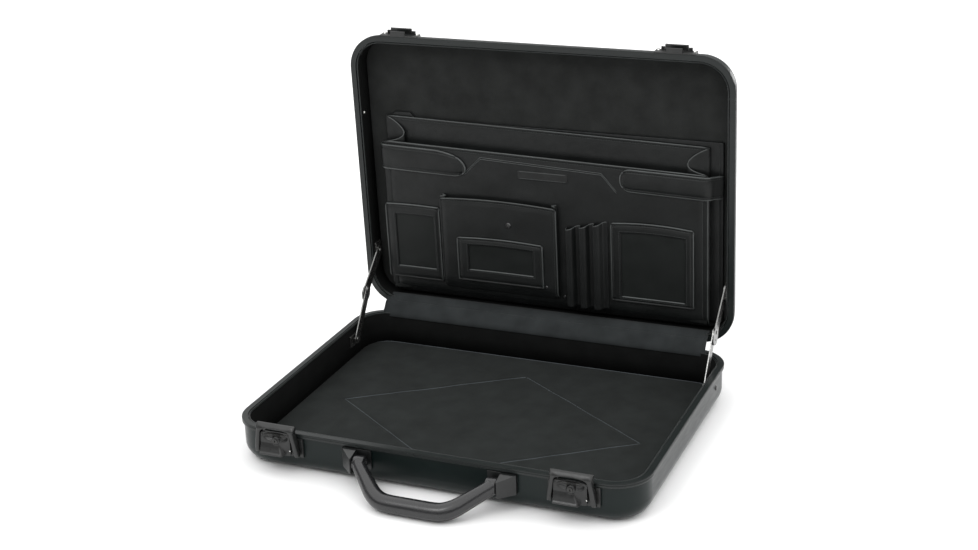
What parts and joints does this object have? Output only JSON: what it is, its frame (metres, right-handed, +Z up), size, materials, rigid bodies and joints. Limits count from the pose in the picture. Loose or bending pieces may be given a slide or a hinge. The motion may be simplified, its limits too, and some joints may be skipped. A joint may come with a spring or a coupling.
{
  "type": "attache case",
  "caption": "Slim hard-shell aluminium attache case with hinged lid, folding stays, key-locking hasp latches, drop handle, lined trays and a lid organiser with pockets.",
  "frame": {"origin": "centre of the flat bottom face of the base, on the surface it stands on", "axes": "+Z up; +X to the right, along the hinge line, as seen by someone in front of the handle; +Y from the handle towards the hinge"},
  "size_m": [0.457, 0.4251, 0.3957],
  "materials": {
    "shell_metal": "black anodised, satin",
    "rim_metal": "dark grey anodised, satin",
    "floor_lining": "dark grey flock",
    "panel_lining": "dark grey nylon",
    "wall_lining": "black nylon",
    "hinge_metal": "black plated",
    "cover_fabric": "dark grey woven strip",
    "foot_rubber": "matte",
    "latch_metal": "gunmetal, satin",
    "bright_steel": "bright plated",
    "mount_metal": "gunmetal, satin",
    "handle_gloss": "black, glossy",
    "handle_matte": "black, semi-gloss",
    "stay_steel": "dark steel",
    "organiser_leather": "black, fine grain",
    "patch_leather": "dark grey, embossed and blank",
    "clear_film": "clear flexible film"
  },
  "bodies": {
    "base": {"base_shell": "shell_metal", "base_frame": "rim_metal", "base_floor_lining": "floor_lining", "base_wall_lining": "wall_lining", "hinge_leaf_base": "hinge_metal", "hinge_pin": "hinge_metal", "hinge_cover_base": "cover_fabric", "spine_feet_base": "foot_rubber", "latch_plate_left": "latch_metal", "latch_plate_right": "latch_metal", "latch_pin_left": "bright_steel", "latch_pin_right": "bright_steel", "latch_spring_left": "bright_steel", "latch_spring_right": "bright_steel", "handle_mount_left": "mount_metal", "handle_mount_right": "mount_metal", "handle_pins": "bright_steel", "stay_bracket_base_left": "stay_steel", "stay_bracket_base_right": "stay_steel", "base_rivets": "bright_steel"},
    "lid": {"lid_shell": "shell_metal", "lid_frame": "rim_metal", "lid_panel_lining": "panel_lining", "lid_wall_lining": "wall_lining", "hinge_leaf_lid": "hinge_metal", "hinge_cover_lid": "cover_fabric", "spine_feet_lid": "foot_rubber", "catch_left": "latch_metal", "catch_right": "latch_metal", "lid_rivets": "bright_steel", "organiser_back": "organiser_leather", "file_pocket_front": "organiser_leather", "file_gusset_left": "organiser_leather", "file_gusset_right": "organiser_leather", "strap_left": "organiser_leather", "strap_right": "organiser_leather", "name_patch": "patch_leather", "id_pocket": "organiser_leather", "id_window": "clear_film", "centre_pocket": "organiser_leather", "card_pocket": "organiser_leather", "card_window": "clear_film", "pen_pockets": "organiser_leather", "side_pocket": "organiser_leather", "side_window": "clear_film", "pocket_rivets": "bright_steel", "stay_bracket_lid_left": "stay_steel", "stay_bracket_lid_right": "stay_steel"},
    "handle": {"handle_grip": "handle_gloss", "handle_underside": "handle_matte"},
    "lever_left": {"latch_lever_left": "latch_metal"},
    "bail_left": {"latch_bail_left": "latch_metal"},
    "key_left": {"key_cylinder_left": "bright_steel"},
    "stay_lower_left": {"stay_lower_left": "stay_steel"},
    "stay_upper_left": {"stay_upper_left": "stay_steel"},
    "lever_right": {"latch_lever_right": "latch_metal"},
    "bail_right": {"latch_bail_right": "latch_metal"},
    "key_right": {"key_cylinder_right": "bright_steel"},
    "stay_lower_right": {"stay_lower_right": "stay_steel"},
    "stay_upper_right": {"stay_upper_right": "stay_steel"}
  },
  "joints": [
    {"name": "lid_hinge", "type": "hinge", "parent": "base", "child": "lid", "pos_m": [0, 0.1735, 0.0462], "axis": [1, 0, 0], "range_deg": [0, 88]},
    {"name": "handle_swing", "type": "hinge", "parent": "base", "child": "handle", "pos_m": [0.0035, -0.1772, 0.029], "axis": [-1, 0, 0], "range_deg": [0, 110]},
    {"name": "latch_lever_left_swing", "type": "hinge", "parent": "base", "child": "lever_left", "pos_m": [-0.1675, -0.1725, 0.0435], "axis": [-1, 0, 0], "range_deg": [0, 72], "stiffness_Nm_per_rad": 0.05, "springref_deg": -28.65},
    {"name": "latch_bail_left_swing", "type": "hinge", "parent": "lever_left", "child": "bail_left", "pos_m": [-0.1675, -0.1726, 0.027], "axis": [-1, 0, 0], "range_deg": [-72, 0]},
    {"name": "key_left_turn", "type": "hinge", "parent": "lever_left", "child": "key_left", "pos_m": [-0.1675, -0.173, 0.0382], "axis": [0, -1, 0], "range_deg": [0, 90]},
    {"name": "latch_lever_right_swing", "type": "hinge", "parent": "base", "child": "lever_right", "pos_m": [0.1585, -0.1725, 0.0435], "axis": [-1, 0, 0], "range_deg": [0, 72], "stiffness_Nm_per_rad": 0.05, "springref_deg": -28.65},
    {"name": "latch_bail_right_swing", "type": "hinge", "parent": "lever_right", "child": "bail_right", "pos_m": [0.1585, -0.1726, 0.027], "axis": [-1, 0, 0], "range_deg": [-72, 0]},
    {"name": "key_right_turn", "type": "hinge", "parent": "lever_right", "child": "key_right", "pos_m": [0.1585, -0.173, 0.0382], "axis": [0, -1, 0], "range_deg": [0, 90]},
    {"name": "stay_lower_left_swing", "type": "hinge", "parent": "base", "child": "stay_lower_left", "pos_m": [-0.2143, 0.106, 0.03], "axis": [1, 0, 0], "range_deg": [0, 102]},
    {"name": "stay_upper_left_swing", "type": "hinge", "parent": "lid", "child": "stay_upper_left", "pos_m": [-0.2161, 0.183, 0.116], "axis": [1, 0, 0], "range_deg": [-126, 0]},
    {"name": "stay_lower_right_swing", "type": "hinge", "parent": "base", "child": "stay_lower_right", "pos_m": [0.2143, 0.106, 0.03], "axis": [1, 0, 0], "range_deg": [0, 102]},
    {"name": "stay_upper_right_swing", "type": "hinge", "parent": "lid", "child": "stay_upper_right", "pos_m": [0.2161, 0.183, 0.116], "axis": [1, 0, 0], "range_deg": [-126, 0]}
  ],
  "couplings": [
    {"joint": "latch_bail_left_swing", "follows": "latch_lever_left_swing", "ratio": -1},
    {"joint": "latch_bail_right_swing", "follows": "latch_lever_right_swing", "ratio": -1},
    {"joint": "stay_lower_left_swing", "follows": "lid_hinge", "ratio": 1.1572},
    {"joint": "stay_upper_left_swing", "follows": "lid_hinge", "ratio": -1.4284},
    {"joint": "stay_lower_right_swing", "follows": "lid_hinge", "ratio": 1.1572},
    {"joint": "stay_upper_right_swing", "follows": "lid_hinge", "ratio": -1.4284}
  ]
}
